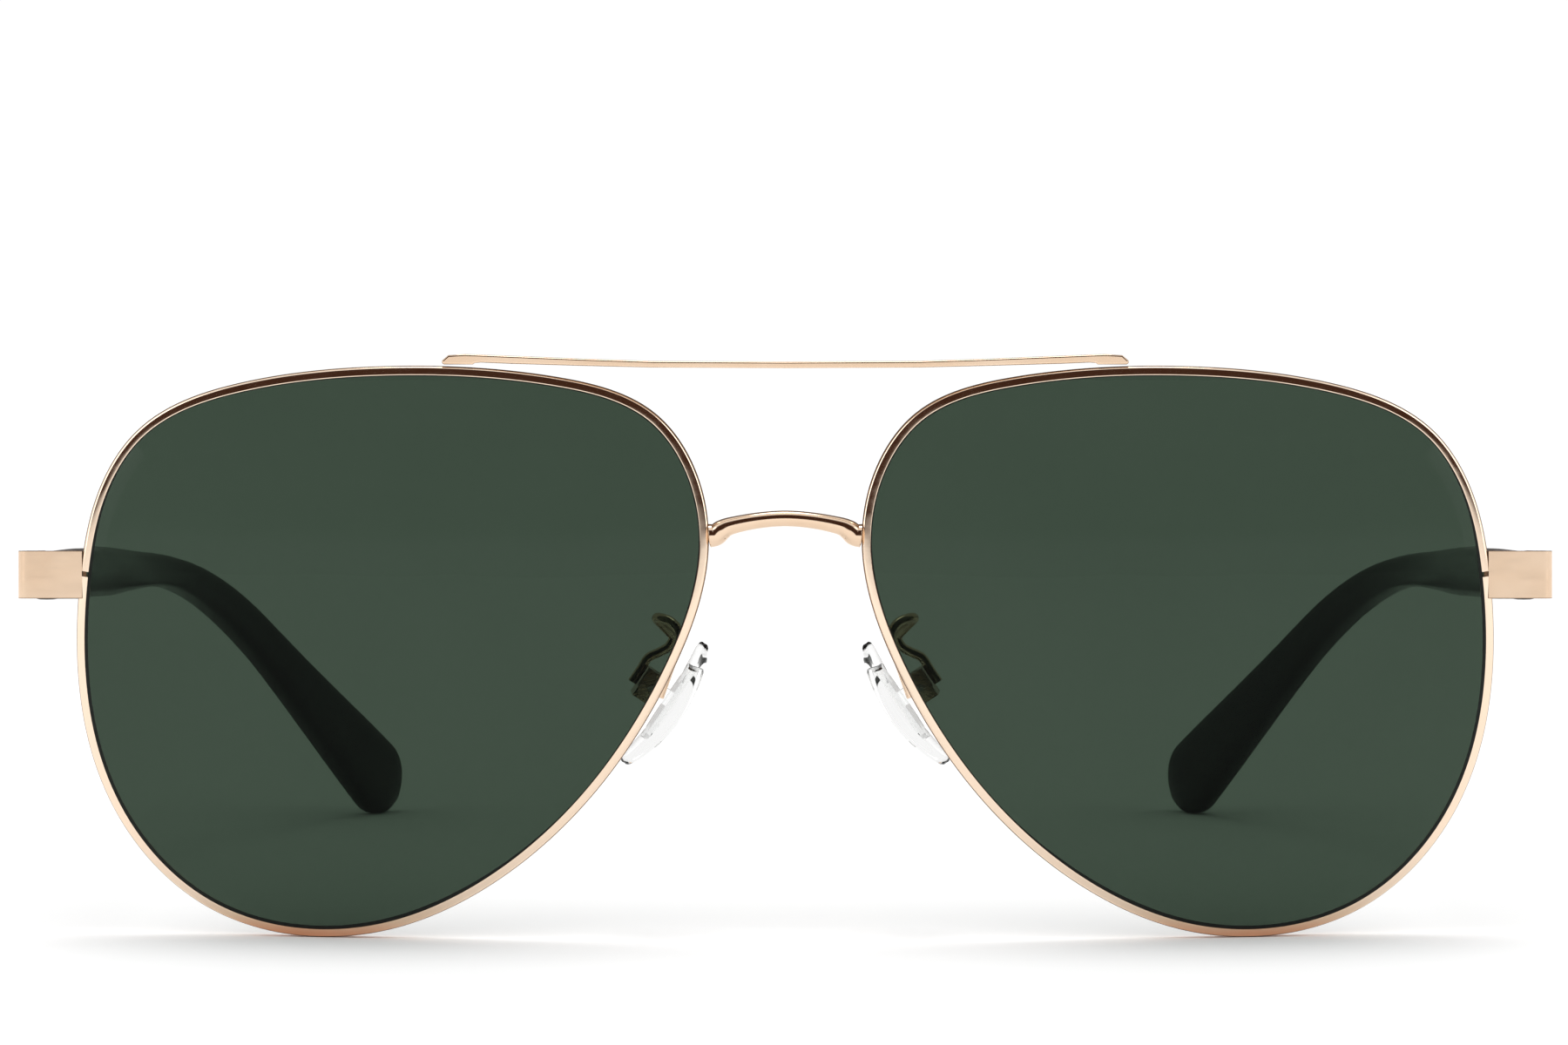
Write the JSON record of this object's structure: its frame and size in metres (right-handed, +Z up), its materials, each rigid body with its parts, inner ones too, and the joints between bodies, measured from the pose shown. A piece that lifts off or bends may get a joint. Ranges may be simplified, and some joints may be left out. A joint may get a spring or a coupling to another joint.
{
  "type": "aviator sunglasses",
  "caption": "Metal-rimmed aviator sunglasses with a brow bar, dark green lenses, folding plastic temples and rocking nose pads on wire arms.",
  "frame": {"origin": "on the table, midway between the two temples and midway between the lens fronts and the temple tips", "axes": "+X towards the wearer's left, +Y back towards the wearer, +Z up"},
  "size_m": [0.145, 0.136, 0.0552],
  "materials": {
    "rim_metal": "satin rose-gold plate with fine grain",
    "polished_metal": "polished rose-gold plate",
    "lug_metal": "smooth rose-gold plate",
    "hinge_metal": "satin nickel-silver, lightly plated",
    "screw_steel": "small turned steel screws",
    "core_wire": "drawn nickel-silver wire",
    "lens_glass": "dark green tint, polished",
    "temple_acetate": "polished black acetate",
    "pad_silicone": "clear soft silicone"
  },
  "bodies": {
    "front": {"bridge": "polished_metal", "brow_bar": "polished_metal", "right_rim": "rim_metal", "left_rim": "rim_metal", "right_lens": "lens_glass", "left_lens": "lens_glass", "right_lug": "lug_metal", "left_lug": "lug_metal", "right_closing_block_upper": "lug_metal", "left_closing_block_upper": "lug_metal", "right_closing_block_lower": "lug_metal", "left_closing_block_lower": "lug_metal", "right_closing_screw": "screw_steel", "left_closing_screw": "screw_steel", "right_hinge_front": "hinge_metal", "left_hinge_front": "hinge_metal", "right_hinge_screw": "screw_steel", "left_hinge_screw": "screw_steel", "right_pad_arm": "polished_metal", "left_pad_arm": "polished_metal", "right_pad_box": "hinge_metal", "left_pad_box": "hinge_metal", "right_pad_screw": "screw_steel", "left_pad_screw": "screw_steel"},
    "right_temple": {"right_temple": "temple_acetate", "right_temple_hinge": "hinge_metal", "right_temple_core": "core_wire"},
    "left_temple": {"left_temple": "temple_acetate", "left_temple_hinge": "hinge_metal", "left_temple_core": "core_wire"},
    "right_pad": {"right_nose_pad": "pad_silicone", "right_pad_core": "hinge_metal"},
    "left_pad": {"left_nose_pad": "pad_silicone", "left_pad_core": "hinge_metal"}
  },
  "joints": [
    {"name": "right_temple_fold", "type": "hinge", "parent": "front", "child": "right_temple", "pos_m": [-0.068, -0.05166, 0.03378], "axis": [0, -0.0401, -0.9992], "range_deg": [0, 82]},
    {"name": "left_temple_fold", "type": "hinge", "parent": "front", "child": "left_temple", "pos_m": [0.068, -0.05166, 0.03378], "axis": [0, 0.0401, 0.9992], "range_deg": [0, 77]},
    {"name": "right_pad_rock", "type": "hinge", "parent": "front", "child": "right_pad", "pos_m": [-0.0129, -0.05766, 0.02363], "axis": [-0.0959, 0.9933, 0.0647], "range_deg": [-10, 10]},
    {"name": "left_pad_rock", "type": "hinge", "parent": "front", "child": "left_pad", "pos_m": [0.0129, -0.05766, 0.02363], "axis": [0.0959, 0.9933, 0.0647], "range_deg": [-10, 10]}
  ]
}
